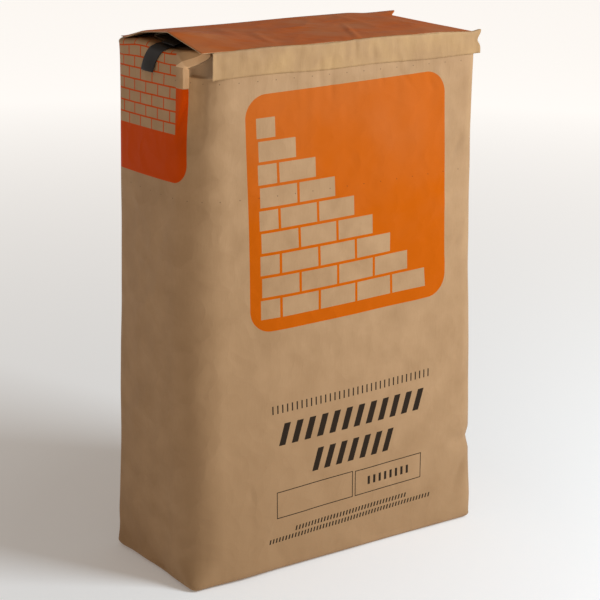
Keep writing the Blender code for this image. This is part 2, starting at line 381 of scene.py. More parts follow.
    def droop(self, place):
        """How far the block end's top hangs down, with its sag under the valve's mouth."""
        mouth = hump(place.y, -0.020, 0.030) * smooth(self.left + 0.055, self.left + 0.01, place.x)
        low = self.slump(place.x, place.y) + self.valve.sag * mouth
        return low * smooth(self.height - 0.030, self.height - 0.004, place.z)

    def settle(self, rest, lift=0.0):
        """Where the filled paper holds a point of the straight block, lifted off it."""
        rest = Vector(rest)
        facing = self.outward(rest)
        flat = 1 - abs(facing.z)
        u = self.wrap(rest)
        out = self.ruffle(rest) + pressed(CREASES, u, rest.z) + self.foot(u, rest.z)
        place = self.fill_out(rest) + facing * (lift + out * flat)
        side = Vector((facing.x, facing.y, 0))
        place -= side * self.step(u, rest.z)
        if place.x < self.left + 0.05 and place.z > self.height - 0.05:
            place = self.chamfer(self.tuck(place, u, rest.z))
        # The foot's back corner by the valve is drawn forward
        drawn = smooth(0.045, 0.0, rest.z) * smooth(0.030, 0.078, rest.y) * smooth(-0.10, -0.17, rest.x)
        place.y -= 0.0075 * drawn
        place.z -= self.droop(place)
        return place

    def gape(self, x, y):
        """How far the top sheet lifts off the sack over the valve: a tent with a low shoulder."""
        valve = self.valve
        if y < valve.peak:
            tent = valve.gape * (y + self.front) / (valve.peak + self.front)
        elif y < valve.shoulder_place:
            tent = valve.gape + (valve.shoulder - valve.gape) * ramp(valve.peak, valve.shoulder_place, y)
        else:
            tent = valve.shoulder * ramp(self.front, valve.shoulder_place, y)
        inward = ramp(self.left, self.left + valve.fade, x)
        return max(tent, 0.0) * math.cos(inward * math.pi / 2) ** 2


def add_node(tree, kind, settings=None, links=None):
    """Adds a node, sets its properties and sockets, and joins its inputs to other outputs."""
    made = tree.nodes.new(kind)
    for key, value in (settings or {}).items():
        if isinstance(key, str) and hasattr(made, key):
            setattr(made, key, value)
        else:
            made.inputs[key].default_value = value
    for key, output in (links or {}).items():
        tree.links.new(output, made.inputs[key])
    return made


def new_material(name, **settings):
    """A material with a Principled BSDF, and its tree and shader."""
    mat = bpy.data.materials.new(name)
    mat.use_nodes = True
    shader = mat.node_tree.nodes["Principled BSDF"]
    for key, value in settings.items():
        shader.inputs[key.replace("_", " ")].default_value = value
    return mat, mat.node_tree, shader


def kraft_base(tree, light, dark):
    """Colour and height of unprinted kraft: upright fibres, soft mottling, and painted shade on the front's
    paper towards its foot and its left edge.
    """
    place = add_node(tree, "ShaderNodeTexCoord").outputs["Object"]
    mottle = add_node(tree, "ShaderNodeTexNoise", {"Scale": 1 / 0.030, "Detail": 4.0}, {"Vector": place})
    # Fibres are 2 to 4 mm long; they are drawn 9 mm long so that they show
    long_way = add_node(tree, "ShaderNodeMapping", {"Scale": (1 / 0.0014, 1 / 0.0014, 1 / 0.009)},
                        {"Vector": place})
    fibre = add_node(tree, "ShaderNodeTexNoise", {"Scale": 1.0, "Detail": 2.0},
                     {"Vector": long_way.outputs[0]})
    both = add_node(tree, "ShaderNodeMath", {"operation": "MULTIPLY_ADD", 1: 0.25},
                    {0: fibre.outputs["Fac"], 2: mottle.outputs["Fac"]})
    share = add_node(tree, "ShaderNodeMapRange", {"From Min": 0.35, "From Max": 0.90},
                     {"Value": both.outputs[0]})
    # Painted shade: the front's paper is darkened towards its foot and its left edge, where the light falls
    # off
    split = add_node(tree, "ShaderNodeSeparateXYZ", None, {0: place})
    slant = add_node(tree, "ShaderNodeMath", {"operation": "MULTIPLY_ADD", 1: 0.9},
                     {0: split.outputs[0], 2: split.outputs[2]})
    painted_light_share = add_node(tree, "ShaderNodeMapRange", {"From Min": -0.10, "From Max": 0.27},
                     {"Value": slant.outputs[0]})
    behind = add_node(tree, "ShaderNodeMapRange", {"From Min": -0.072, "From Max": -0.045},
                      {"Value": split.outputs[1]})
    painted_light_kept = combine(tree, "MAXIMUM", [painted_light_share.outputs[0], behind.outputs[0]])
    paper = add_node(tree, "ShaderNodeMix", {"data_type": "RGBA", 6: (*dark, 1), 7: (*light, 1)},
                     {0: combine(tree, "MULTIPLY", [share.outputs[0], painted_light_kept])})
    return paper.outputs[2], fibre.outputs["Fac"]


def finish_paper(tree, shader, colour, height):
    """Joins a paper's colour, its soft crumples and its fine fibre relief to the shader."""
    place = add_node(tree, "ShaderNodeTexCoord").outputs["Object"]
    # Crumples 30 to 50 mm wide between blunt creases, about 1 mm high
    warp = add_node(tree, "ShaderNodeTexNoise", {"Scale": 1 / 0.05, "Detail": 2.0}, {"Vector": place})
    bent = add_node(tree, "ShaderNodeVectorMath", {"operation": "MULTIPLY_ADD", 1: (0.04, 0.04, 0.04)},
                    {0: warp.outputs["Color"], 2: place})
    cells = add_node(tree, "ShaderNodeTexVoronoi", {"Scale": 1 / 0.04, "Detail": 1.0},
                     {"Vector": bent.outputs[0]})
    crumple = add_node(tree, "ShaderNodeBump", {"Strength": 1.0, "Distance": 0.0015},
                       {"Height": cells.outputs["Distance"]})
    # Fibre relief of about 0.05 mm
    bump = add_node(tree, "ShaderNodeBump", {"Strength": 0.12, "Distance": 0.0004},
                    {"Height": height, "Normal": crumple.outputs[0]})
    tree.links.new(colour, shader.inputs["Base Color"])
    tree.links.new(bump.outputs[0], shader.inputs["Normal"])


def paper_material(name, light, dark):
    """Sack kraft, machine finished and unprinted: a matt, faintly fibrous brown."""
    mat, tree, shader = new_material(name, Roughness=0.62, Specular_IOR_Level=0.25)
    paper, fibre = kraft_base(tree, light, dark)
    finish_paper(tree, shader, paper, fibre)
    return mat


def rectangle(tree, place, left, right, low, high, radius=0.0004):
    """A mask that is 1 inside an upright rectangle with rounded corners, in metres on a flat print."""
    centre = ((left + right) / 2, (low + high) / 2, 0)
    reach = ((right - left) / 2 - radius, (high - low) / 2 - radius, 1)
    out = place
    for operation, value in (("SUBTRACT", centre), ("ABSOLUTE", (0, 0, 0)), ("SUBTRACT", reach),
                             ("MAXIMUM", (0, 0, 0)), ("LENGTH", (0, 0, 0))):
        step = add_node(tree, "ShaderNodeVectorMath", {"operation": operation, 1: value}, {0: out})
        out = step.outputs["Value"] if operation == "LENGTH" else step.outputs[0]
    return add_node(tree, "ShaderNodeMath", {"operation": "LESS_THAN", 1: radius}, {0: out}).outputs[0]


def combine(tree, operation, masks):
    """Joins masks one after another: MAXIMUM unites them, MULTIPLY keeps what they share."""
    out = masks[0]
    for mask in masks[1:]:
        out = add_node(tree, "ShaderNodeMath", {"operation": operation}, {0: out, 1: mask}).outputs[0]
    return out


def outline(tree, place, left, right, low, high, line):
    """A mask of a rectangle's outline."""
    whole = rectangle(tree, place, left, right, low, high)
    inner = rectangle(tree, place, left + line, right - line, low + line, high - line)
    return combine(tree, "SUBTRACT", [whole, inner])


def brick_faces(tree, place, left, low, brick, joint):
    """A mask of the faces of bricks in running bond; a brick is half as high as it is long."""
    local = add_node(tree, "ShaderNodeVectorMath", {"operation": "SUBTRACT", 1: (left, low, 0)}, {0: place})
    # The pattern's own unit is 0.1 m, because its sizes have a lower limit of 0.01
    bond = add_node(tree, "ShaderNodeTexBrick", {
        "Scale": 10.0, "Mortar Size": joint * 5, "Mortar Smooth": 0.0, "Brick Width": brick * 10,
        "Row Height": brick * 5}, {"Vector": local.outputs[0]})
    face = add_node(tree, "ShaderNodeMath", {"operation": "SUBTRACT", 0: 1.0}, {1: bond.outputs["Fac"]})
    return face.outputs[0]


def raked_wall(tree, place, left, low, brick, bricks):
    """A mask of a wall whose right end steps back by half a brick with each course."""
    local = add_node(tree, "ShaderNodeVectorMath", {"operation": "SUBTRACT", 1: (left, low, 0)}, {0: place})
    split = add_node(tree, "ShaderNodeSeparateXYZ", None, {0: local.outputs[0]})
    course = add_node(tree, "ShaderNodeMath", {"operation": "DIVIDE", 1: brick / 2}, {0: split.outputs[1]})
    whole = add_node(tree, "ShaderNodeMath", {"operation": "FLOOR"}, {0: course.outputs[0]})
    end = add_node(tree, "ShaderNodeMath", {"operation": "MULTIPLY_ADD", 1: -brick / 2, 2: brick * bricks},
                   {0: whole.outputs[0]})
    short = add_node(tree, "ShaderNodeMath", {"operation": "LESS_THAN"},
                     {0: split.outputs[0], 1: end.outputs[0]})
    right = add_node(tree, "ShaderNodeMath", {"operation": "GREATER_THAN", 1: 0.0}, {0: split.outputs[0]})
    above = add_node(tree, "ShaderNodeMath", {"operation": "GREATER_THAN", 1: 0.0}, {0: split.outputs[1]})
    return combine(tree, "MULTIPLY", [n.outputs[0] for n in (short, right, above)])


def bar(tree, place, box, count, share, lean=0.0):
    """A mask of a row of slanted strokes, all of them whole, inside a box of left, right, low and high."""
    left, right, low, high = box
    pitch = (right - left) / (count - 1 + share)
    local = add_node(tree, "ShaderNodeVectorMath", {"operation": "SUBTRACT", 1: (left, (low + high) / 2, 0)},
                     {0: place})
    split = add_node(tree, "ShaderNodeSeparateXYZ", None, {0: local.outputs[0]})
    slid = add_node(tree, "ShaderNodeMath", {"operation": "MULTIPLY_ADD", 1: -lean},
                    {0: split.outputs[1], 2: split.outputs[0]})
    upright = add_node(tree, "ShaderNodeCombineXYZ", None, {0: slid.outputs[0], 1: split.outputs[1]})
    turns = add_node(tree, "ShaderNodeMath", {"operation": "DIVIDE", 1: pitch}, {0: slid.outputs[0]})
    part = add_node(tree, "ShaderNodeMath", {"operation": "FRACT"}, {0: turns.outputs[0]})
    stroke = add_node(tree, "ShaderNodeMath", {"operation": "LESS_THAN", 1: share}, {0: part.outputs[0]})
    whole = rectangle(tree, upright.outputs[0], 0.0, right - left, (low - high) / 2, (high - low) / 2)
    return combine(tree, "MULTIPLY", [whole, stroke.outputs[0]])


def needle_holes(tree, place, height):
    """A mask of one row of vent holes, pricked right round the sack; the shade inside them is painted dark.
    """
    pitch = 0.021
    # The holes are about 0.7 mm wide; they are drawn 1.2 mm wide so that they show
    radius = 0.0006
    step = add_node(tree, "ShaderNodeVectorMath", {"operation": "SUBTRACT", 1: (0, height, 0)}, {0: place})
    split = add_node(tree, "ShaderNodeSeparateXYZ", None, {0: step.outputs[0]})
    near = add_node(tree, "ShaderNodeMath", {"operation": "PINGPONG", 1: pitch / 2}, {0: split.outputs[0]})
    spot = add_node(tree, "ShaderNodeCombineXYZ", None, {0: near.outputs[0], 1: split.outputs[1]})
    far = add_node(tree, "ShaderNodeVectorMath", {"operation": "LENGTH"}, {0: spot.outputs[0]})
    hole = add_node(tree, "ShaderNodeMath", {"operation": "LESS_THAN", 1: radius}, {0: far.outputs["Value"]})
    return hole.outputs[0]


def inked(tree, mask, ink, under):
    """Paper with flat ink over it where the mask is 1."""
    mix = add_node(tree, "ShaderNodeMix", {"data_type": "RGBA", 7: (*ink, 1)}, {0: mask, 6: under})
    return mix.outputs[2]


def front_print(tree, prints, turned):
    """The mask of the front's orange panel, which holds a raked brick wall."""
    reach, low, brick = prints.panel_reach, prints.panel_low, prints.brick
    margin = 0.012
    panel = rectangle(tree, turned, -reach, reach, low, prints.panel_high, prints.panel_round)
    wall = combine(tree, "MULTIPLY", [
        brick_faces(tree, turned, margin - reach, low + margin, brick, 0.0030),
        raked_wall(tree, turned, margin - reach, low + margin, brick, 4.5)])
    return combine(tree, "SUBTRACT", [panel, wall])


def side_print(tree, prints, place):
    """The mask of the orange block on the valve's side, with a small wall in its upper part."""
    low, right = prints.flank_low, prints.flank_right
    back, high, beyond = -0.3335, 0.5130, 0.63
    margin = right - 0.0170
    turn = add_node(tree, "ShaderNodeVectorRotate", {
        "rotation_type": "Z_AXIS", "Center": (right, low, 0), "Angle": prints.flank_slant}, {"Vector": place})
    place = turn.outputs[0]
    ink = combine(tree, "MAXIMUM", [
        rectangle(tree, place, back, right, low, high, 0.020),
        rectangle(tree, place, back, right, low + 0.030, high),
        rectangle(tree, place, back, -0.2600, low, high),
        rectangle(tree, place, back, margin, 0.50, 0.62)])
    # A small wall fills the block's upper part, and its courses carry on over the top edge
    wall = combine(tree, "MULTIPLY", [
        rectangle(tree, place, back - 0.0065, margin, low + 0.047, beyond),
        brick_faces(tree, place, -0.3085, low + 0.046, prints.brick / 2, 0.0016)])
    return combine(tree, "SUBTRACT", [ink, wall])


def corner_light_and_shade_masks(tree, place):
    """Masks of the top corner by the valve: the folds, which get a painted highlight, and the ply inside
    them, which gets painted shade.
    """
    turn = add_node(tree, "ShaderNodeVectorRotate", {
        "rotation_type": "Z_AXIS", "Center": (-0.189, 0.534, 0), "Angle": math.radians(-25)},
        {"Vector": place})
    turned = turn.outputs[0]
    facet = combine(tree, "MULTIPLY", [rectangle(tree, turned, -0.2080, -0.1500, 0.5345, 0.5440),
                                       rectangle(tree, place, -0.2500, -0.1300, 0.5338, 0.5700)])
    fold = rectangle(tree, place, -0.1968, -0.1915, 0.5135, 0.5340, 0.0012)
    inner = combine(tree, "MULTIPLY", [rectangle(tree, turned, -0.2500, -0.1000, 0.5000, 0.5343),
                                       rectangle(tree, place, -0.1908, -0.1500, 0.5249, 0.5560)])
    return combine(tree, "MAXIMUM", [facet, fold]), inner


def painted_fold_light_and_shade(tree, place, colours, paper):
    """The sack's paper with a painted highlight on those folds, and painted dark brown shade on the ply
    inside them.
    """
    pale, inner = corner_light_and_shade_masks(tree, place)
    # The folds get a painted highlight, and the ply inside them painted shade
    fold_highlight = add_node(tree, "ShaderNodeMath", {"operation": "MULTIPLY", 1: 0.8}, {0: pale})
    dim = add_node(tree, "ShaderNodeMath", {"operation": "MULTIPLY", 1: 0.5}, {0: inner})
    paper = inked(tree, fold_highlight.outputs[0], colours.fold_highlight, paper)
    return inked(tree, dim.outputs[0], colours.inside, paper)


def dust_and_sheen_coat(tree, place):
    """How full the front's ink is: thinner towards its top, as painted sheen and dust, in soft patches of 60
    to 100 mm.
    """
    split = add_node(tree, "ShaderNodeSeparateXYZ", None, {0: place})
    patch = add_node(tree, "ShaderNodeTexNoise", {"Scale": 1 / 0.08, "Detail": 3.0}, {"Vector": place})
    high = add_node(tree, "ShaderNodeMath", {"operation": "MULTIPLY_ADD", 1: 0.30},
                    {0: patch.outputs["Fac"], 2: split.outputs[1]})
    coat = add_node(tree, "ShaderNodeMapRange", {
        "From Min": 0.50, "From Max": 0.68, "To Min": 1.0, "To Max": 0.86}, {"Value": high.outputs[0]})
    return coat.outputs[0]


def painted_corner_light(tree, place, colour):
    """The corner below the fold, paper and ink alike, lightened over about 40 mm: painted light where the
    rounded corner turns towards the light.
    """
    corner_place = -0.186
    split = add_node(tree, "ShaderNodeSeparateXYZ", None, {0: place})
    off = add_node(tree, "ShaderNodeMath", {"operation": "SUBTRACT", 1: corner_place}, {0: split.outputs[0]})
    off = add_node(tree, "ShaderNodeMath", {"operation": "ABSOLUTE"}, {0: off.outputs[0]})
    near = add_node(tree, "ShaderNodeMapRange", {"From Min": 0.024, "From Max": 0.006},
                    {"Value": off.outputs[0]})
    upper = add_node(tree, "ShaderNodeMapRange", {"From Min": 0.462, "From Max": 0.500},
                     {"Value": split.outputs[1]})
    painted_light_share = combine(tree, "MULTIPLY", [near.outputs[0], upper.outputs[0]])
    lighter = add_node(tree, "ShaderNodeMix", {
        "data_type": "RGBA", "blend_type": "MULTIPLY", 7: (1.36, 1.34, 1.3, 1)}, {0: painted_light_share, 6: colour})
    return lighter.outputs[2]


def rule_print(tree, turned):
    """The mask of the dark print: rows of strokes and two ruled boxes."""
    rows = [
        bar(tree, turned, (-0.1008, 0.1001, 0.1791, 0.1881), 35, 0.27),
        bar(tree, turned, (-0.0900, 0.0900, 0.1435, 0.1672), 12, 0.50, 0.30),
        bar(tree, turned, (-0.0485, 0.0500, 0.1055, 0.1304), 7, 0.50, 0.30),
        bar(tree, turned, (0.0200, 0.0745, 0.0724, 0.0819), 8, 0.42),
        bar(tree, turned, (-0.0738, 0.0721, 0.0440, 0.0492), 36, 0.45, 0.25),
        bar(tree, turned, (-0.1072, 0.1048, 0.0362, 0.0412), 53, 0.45, 0.25)]
    boxes = [outline(tree, turned, -0.0975, 0.0007, 0.0627, 0.0928, 0.0010),
             outline(tree, turned, 0.0033, 0.0919, 0.0626, 0.0921, 0.0010)]
    return combine(tree, "MAXIMUM", rows + boxes)


def sack_material(colours, prints):
    """Sack kraft printed with flexo inks: matt fibrous paper, and flat ink that is smoother but duller."""
    bare_gloss, inked_gloss = 0.25, 0.03
    mat, tree, shader = new_material("flexo_printed_kraft", Specular_IOR_Level=bare_gloss)
    paper, fibre = kraft_base(tree, colours.kraft, colours.kraft_dark)
    place = add_node(tree, "ShaderNodeUVMap", {"uv_map": "wrap"}).outputs[0]
    turned = add_node(tree, "ShaderNodeMapping", {
        "Rotation": (0, 0, -prints.slant), "Location": (-prints.shift, 0, 0)}, {"Vector": place}).outputs[0]
    front = front_print(tree, prints, turned)
    flank = side_print(tree, prints, place)
    rules = rule_print(tree, turned)
    # Painted highlight on the folds by the valve, and painted shade on the ply inside them
    colour = painted_fold_light_and_shade(tree, place, colours, paper)
    # The front's ink thins towards its top: painted sheen, and dust
    colour = inked(tree, combine(tree, "MULTIPLY", [front, dust_and_sheen_coat(tree, place)]), colours.orange, colour)
    # The side's ink is a redder copy, painted for the warmer light there
    colour = inked(tree, flank, colours.orange_side_warm_light, colour)
    # Painted light on the corner below the fold
    colour = painted_corner_light(tree, place, inked(tree, rules, colours.ink, colour))
    # The vent holes are painted dark: painted shade inside them
    rows = combine(tree, "MAXIMUM", [needle_holes(tree, place, height) for height in (0.5195, 0.405)])
    holes = add_node(tree, "ShaderNodeMath", {"operation": "MULTIPLY", 1: 0.6}, {0: rows})
    colour = inked(tree, holes.outputs[0], colours.ink, colour)
    printed = combine(tree, "MAXIMUM", [front, flank, rules])
    for socket, bare, coated in (("Roughness", 0.62, 0.50), ("Specular IOR Level", bare_gloss, inked_gloss)):
        level = add_node(tree, "ShaderNodeMapRange", {"To Min": bare, "To Max": coated}, {"Value": printed})
        tree.links.new(level.outputs[0], shader.inputs[socket])
    finish_paper(tree, shader, colour, fibre)
    return mat


def cover_material(colours):
    """Sack kraft with a full coat of orange flexo ink: smoother, and it shines at a low angle."""
    mat, tree, shader = new_material("flexo_coated_kraft", Roughness=0.5, Specular_IOR_Level=0.22)
    paper, fibre = kraft_base(tree, colours.kraft, colours.kraft_dark)
    place = add_node(tree, "ShaderNodeTexCoord").outputs["Object"]
    # Handling has rubbed the ink thin in patches of 30 to 60 mm
    rub = add_node(tree, "ShaderNodeTexNoise", {"Scale": 1 / 0.045, "Detail": 5.0}, {"Vector": place})
    coat = add_node(tree, "ShaderNodeMapRange", {
        "From Min": 0.35, "From Max": 0.7, "To Min": 1.0, "To Max": 0.72}, {"Value": rub.outputs["Fac"]})
    finish_paper(tree, shader, inked(tree, coat.outputs[0], colours.orange, paper), fibre)
    return mat


def film_material(colours):
    """Black polyethylene film, extruded and soft: nearly black with a broad dull shine."""
    return new_material("extruded_black_pe_film", Roughness=0.6, Specular_IOR_Level=0.3,
                        Base_Color=(*colours.film, 1))[0]


def cement_material(colours):
    """Portland cement, ground to powder: a dull even grey."""
    return new_material("ground_portland_cement", Roughness=0.95, Base_Color=(*colours.cement, 1))[0]


def add_piece(name, bm, mats, replaced):
    """Makes a mesh object of a bmesh and hands it to the frame."""
    mesh = bpy.data.meshes.new(name)
    bm.to_mesh(mesh)
    bm.free()
    for mat in mats:
        mesh.materials.append(mat)
    mesh.shade_smooth()
    piece = bpy.data.objects.new(name, mesh)
    bpy.context.scene.collection.objects.link(piece)
    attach(piece, "root")
    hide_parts(*replaced)
    return piece


def thicken(piece, thickness, offset, inner=0, edge=0):
    """Gives an open sheet its thickness; inner and edge say which of its materials those faces take."""
    solid = piece.modifiers.new("paper", "SOLIDIFY")
    solid.thickness, solid.offset, solid.use_even_offset = thickness, offset, True
    solid.material_offset, solid.material_offset_rim = inner, edge


def along(edge, axis):
    """Whether an edge runs along an axis."""
    step = edge.verts[1].co - edge.verts[0].co
    return abs(step[axis]) > 0.999 * step.length


def round_edges(bm, edges, radius, segments):
    """Rounds edges off with a bevel."""
    bmesh.ops.bevel(bm, geom=edges, affect="EDGES", offset=radius, segments=segments,
                    profile=0.5, material=-1)


def split_long(bm, axis, cell):
    """Divides the long edges along an axis, and with them the strips of faces between them."""
    edges = [e for e in bm.edges if along(e, axis) and e.calc_length() > 4 * cell]
    bmesh.ops.subdivide_edges(bm, edges=edges, cuts=int(edges[0].calc_length() / cell))


def straight_block(form, inset, cell, corner_segments, rim_segments):
    """The straight block with rounded edges, divided into cells, and with both ends open."""
    bm = bmesh.new()
    bmesh.ops.create_cube(bm, size=1)
    tall = form.height - form.base - 2 * inset
    size = (2 * (form.half - inset), 2 * (form.front - inset), tall)
    bmesh.ops.scale(bm, vec=size, verts=bm.verts)
    bmesh.ops.translate(bm, vec=(0, 0, form.base + inset + tall / 2), verts=bm.verts)
    round_edges(bm, [e for e in bm.edges if along(e, 2)], max(form.corner - inset, 0.004), corner_segments)
    rims = [e for e in bm.edges if abs(e.verts[0].co.z - e.verts[1].co.z) < 1e-6]
    round_edges(bm, rims, max(form.rim - inset, 0.001), rim_segments)
    ends = [f for f in bm.faces if abs(f.normal.z) > 0.999]
    bmesh.ops.delete(bm, geom=ends, context="FACES_ONLY")
    for axis in (2, 0, 1):
        split_long(bm, axis, cell)
    return bm


def close_ends(bm, form, cell):
    """Closes both ends and divides the top one into cells, because it dips under the valve."""
    open_edges = [e for e in bm.edges if e.is_boundary]
    made = bmesh.ops.holes_fill(bm, edges=open_edges)["faces"]
    top = [f for f in made if f.calc_center_median().z > form.height / 2]
    for axis, reach in ((0, form.half - form.corner), (1, form.front - form.corner)):
        normal = Vector((axis == 0, axis == 1, 0))
        count = int(2 * reach / cell) + 1
        for i in range(1, count):
            edges = {e for f in top for e in f.edges}
            verts = {v for f in top for v in f.verts}
            cut = bmesh.ops.bisect_plane(
                bm, geom=[*top, *edges, *verts], plane_co=normal * (2 * reach * i / count - reach),
                plane_no=normal, dist=1e-5)
            top = [g for g in cut["geom"] if isinstance(g, bmesh.types.BMFace)]
    bmesh.ops.recalc_face_normals(bm, faces=bm.faces)


def refine_corner(bm, form):
    """Divides the cells of the folded corner by the valve further, because its creases are sharp."""
    def folded(vert):
        """Whether a vertex lies on the folded corner."""
        return -0.212 < form.wrap(vert.co) < -0.143 and vert.co.z > form.height - 0.080

    edges = [e for e in bm.edges if all(folded(v) for v in e.verts)]
    bmesh.ops.subdivide_edges(bm, edges=edges, cuts=2, use_grid_fill=True)


def mark_wrap(bm, form):
    """Gives the sack its UV map: metres round the bag and metres up it, before it is filled out."""
    layer = bm.loops.layers.uv.new("wrap")
    for face in bm.faces:
        side = math.copysign(1, face.calc_center_median().x)
        for loop in face.loops:
            at = loop.vert.co
            place = Vector((side * abs(at.x), at.y, at.z)) if at.y > 0 else at
            loop[layer].uv = (form.wrap(place), at.z)


def paper_grid(low, high, cell):
    """A flat grid of square cells in the XY plane between two corners."""
    wide, deep = high[0] - low[0], high[1] - low[1]
    bm = bmesh.new()
    bmesh.ops.create_grid(bm, x_segments=round(wide / cell), y_segments=round(deep / cell), size=0.5)
    bmesh.ops.scale(bm, vec=(wide, deep, 1), verts=bm.verts)
    bmesh.ops.translate(bm, vec=((low[0] + high[0]) / 2, (low[1] + high[1]) / 2, 0), verts=bm.verts)
    return bm


class CEMENTBAG_OT_stage(bpy.types.Operator):
    """Adds the floor, the studio lights and the camera"""

    bl_idname = "cement_bag.stage"
    bl_label = "Stage, lights and camera"

    def execute(self, context):
        scene = context.scene
        scene.view_settings.view_transform = "Standard"
        add_floor(scene.bag_colours)
        add_lights(scene)
        add_camera(scene)
        return {"FINISHED"}


def add_floor(colours):
    """A wide pale floor, which fills the picture from the photograph's angle."""
    bm = bmesh.new()
    bmesh.ops.create_grid(bm, x_segments=4, y_segments=4, size=30)
    mesh = bpy.data.meshes.new("floor")
    bm.to_mesh(mesh)
    bm.free()
    floor = bpy.data.objects.new("floor", mesh)
    bpy.context.scene.collection.objects.link(floor)
    # Matt floor paint: even, and almost without shine
    mat, tree, shader = new_material(
        "matt_painted_floor", Roughness=0.9, Specular_IOR_Level=0.2, Base_Color=(*colours.floor, 1),
        Emission_Color=(1, 0.985, 0.965, 1))
    # Painted light: the floor glows, faintly near the bag and more strongly further off, as under a lit
    # backdrop
    place = add_node(tree, "ShaderNodeTexCoord").outputs["Object"]
    far = add_node(tree, "ShaderNodeVectorMath", {"operation": "LENGTH"}, {0: place})
    glow = add_node(tree, "ShaderNodeMapRange", {
        "From Min": 0.3, "From Max": 2.6, "To Min": 0.14, "To Max": 0.70}, {"Value": far.outputs["Value"]})
    tree.links.new(glow.outputs[0], shader.inputs["Emission Strength"])
    mesh.materials.append(mat)


def add_area(name, spot, target, size, power, colour=(1, 1, 1)):
    """A square soft light at a spot, turned to a target."""
    light = bpy.data.lights.new(name, "AREA")
    light.shape, light.size, light.energy, light.color = "SQUARE", size, power, colour
    lamp = bpy.data.objects.new(name, light)
    lamp.location = spot
    lamp.rotation_euler = (Vector(target) - Vector(spot)).to_track_quat("-Z", "Y").to_euler()
    bpy.context.scene.collection.objects.link(lamp)


def add_lights(scene):
    """A soft key light from the front right, and an even dim surround."""
    add_area("key_softbox", (0.95, -1.28, 1.22), (0, 0, 0.33), 0.75, 31, (0.90, 1.0, 1.10))
    world = bpy.data.worlds.new("studio")
    world.use_nodes = True
    back = world.node_tree.nodes["Background"]
    back.inputs["Color"].default_value = (1, 0.87, 0.76, 1)
    back.inputs["Strength"].default_value = 0.30
    scene.world = world


# Where the camera stands, fitted to the bag's outline
CAMERA_AZIMUTH = math.radians(-35.20)
CAMERA_PITCH = math.radians(16.63)
CAMERA_ROLL = math.radians(0.926)
CAMERA_DISTANCE = 1.9615
CAMERA_TARGET = Vector((-0.0001, 0.0, 0.26284))
FOCAL_PIXELS = 1842.1
IMAGE_PIXELS = 600


def add_camera(scene):
    """The camera at the photograph's viewing angle."""
    data = bpy.data.cameras.new("camera")
    data.sensor_width = 36
    data.lens = FOCAL_PIXELS * data.sensor_width / IMAGE_PIXELS
    level = math.cos(CAMERA_PITCH)
    back = Vector((math.sin(CAMERA_AZIMUTH) * level, -math.cos(CAMERA_AZIMUTH) * level,
                   math.sin(CAMERA_PITCH)))
    right = (-back).cross(Vector((0, 0, 1))).normalized()
    up = back.cross(right)
    turned_right = right * math.cos(CAMERA_ROLL) + up * math.sin(CAMERA_ROLL)
    turned_up = up * math.cos(CAMERA_ROLL) - right * math.sin(CAMERA_ROLL)
    camera = bpy.data.objects.new("camera", data)
    camera.matrix_world = Matrix.Translation(CAMERA_TARGET + back * CAMERA_DISTANCE) @ Matrix(
        (turned_right, turned_up, back)).transposed().to_4x4()
    scene.collection.objects.link(camera)
    scene.camera = camera


class CEMENTBAG_OT_sack(bpy.types.Operator):
    """Adds the filled paper sack, and the cement inside it"""

    bl_idname = "cement_bag.sack"
    bl_label = "Sack and filling"

    def execute(self, context):
        scene = context.scene
        sizes, colours = scene.bag_sizes, scene.bag_colours
        form = SackForm(sizes, scene.bag_valve)
        bm = straight_block(form, inset=0.0, cell=sizes.cell, corner_segments=5, rim_segments=4)
        close_ends(bm, form, sizes.cell)
        refine_corner(bm, form)
        mark_wrap(bm, form)
        for vert in bm.verts:
            vert.co = form.settle(vert.co)
        sack = add_piece("sack_body", bm, [sack_material(colours, scene.bag_prints)], ["kraft_sack"])
        add_cement(form, colours)
        return {"FINISHED"}


def add_cement(form, colours):
    """The cement that packs the sack, well inside its paper."""
    bm = straight_block(form, inset=0.024, cell=0.02, corner_segments=4, rim_segments=2)
    bmesh.ops.holes_fill(bm, edges=[e for e in bm.edges if e.is_boundary])
    bmesh.ops.recalc_face_normals(bm, faces=bm.faces)
    for vert in bm.verts:
        vert.co = form.fill_out(vert.co)
    add_piece("cement_core", bm, [cement_material(colours)], ["cement_fill"])


class CEMENTBAG_OT_covers(bpy.types.Operator):
    """Adds the printed top sheet, and finishes the bottom one"""

    bl_idname = "cement_bag.covers"
    bl_label = "Cover sheets"

    def execute(self, context):
        scene = context.scene
        sizes, colours = scene.bag_sizes, scene.bag_colours
        form = SackForm(sizes, scene.bag_valve)
        bm = paper_grid((form.left + HEM, -form.front + 0.0006), (form.right - HEM, form.front - HEM),
                        sizes.cover_cell)
        for vert in bm.verts:
            vert.co = on_top(form, vert.co.x, vert.co.y)
        kraft = paper_material("top_sheet_kraft_side", colours.kraft, colours.kraft_dark)
        pale = paper_material("cut_kraft_edge", colours.cut_edge, colours.kraft)
        cover = add_piece("top_sheet", bm, [cover_material(colours), kraft, pale], ["top_cover_sheet"])
        thicken(cover, SHEET, offset=1, inner=1, edge=2)
        bottom = bpy.data.objects["bottom_cover_sheet"]
        bottom.data.materials.clear()
        bottom.data.materials.append(kraft)
        return {"FINISHED"}


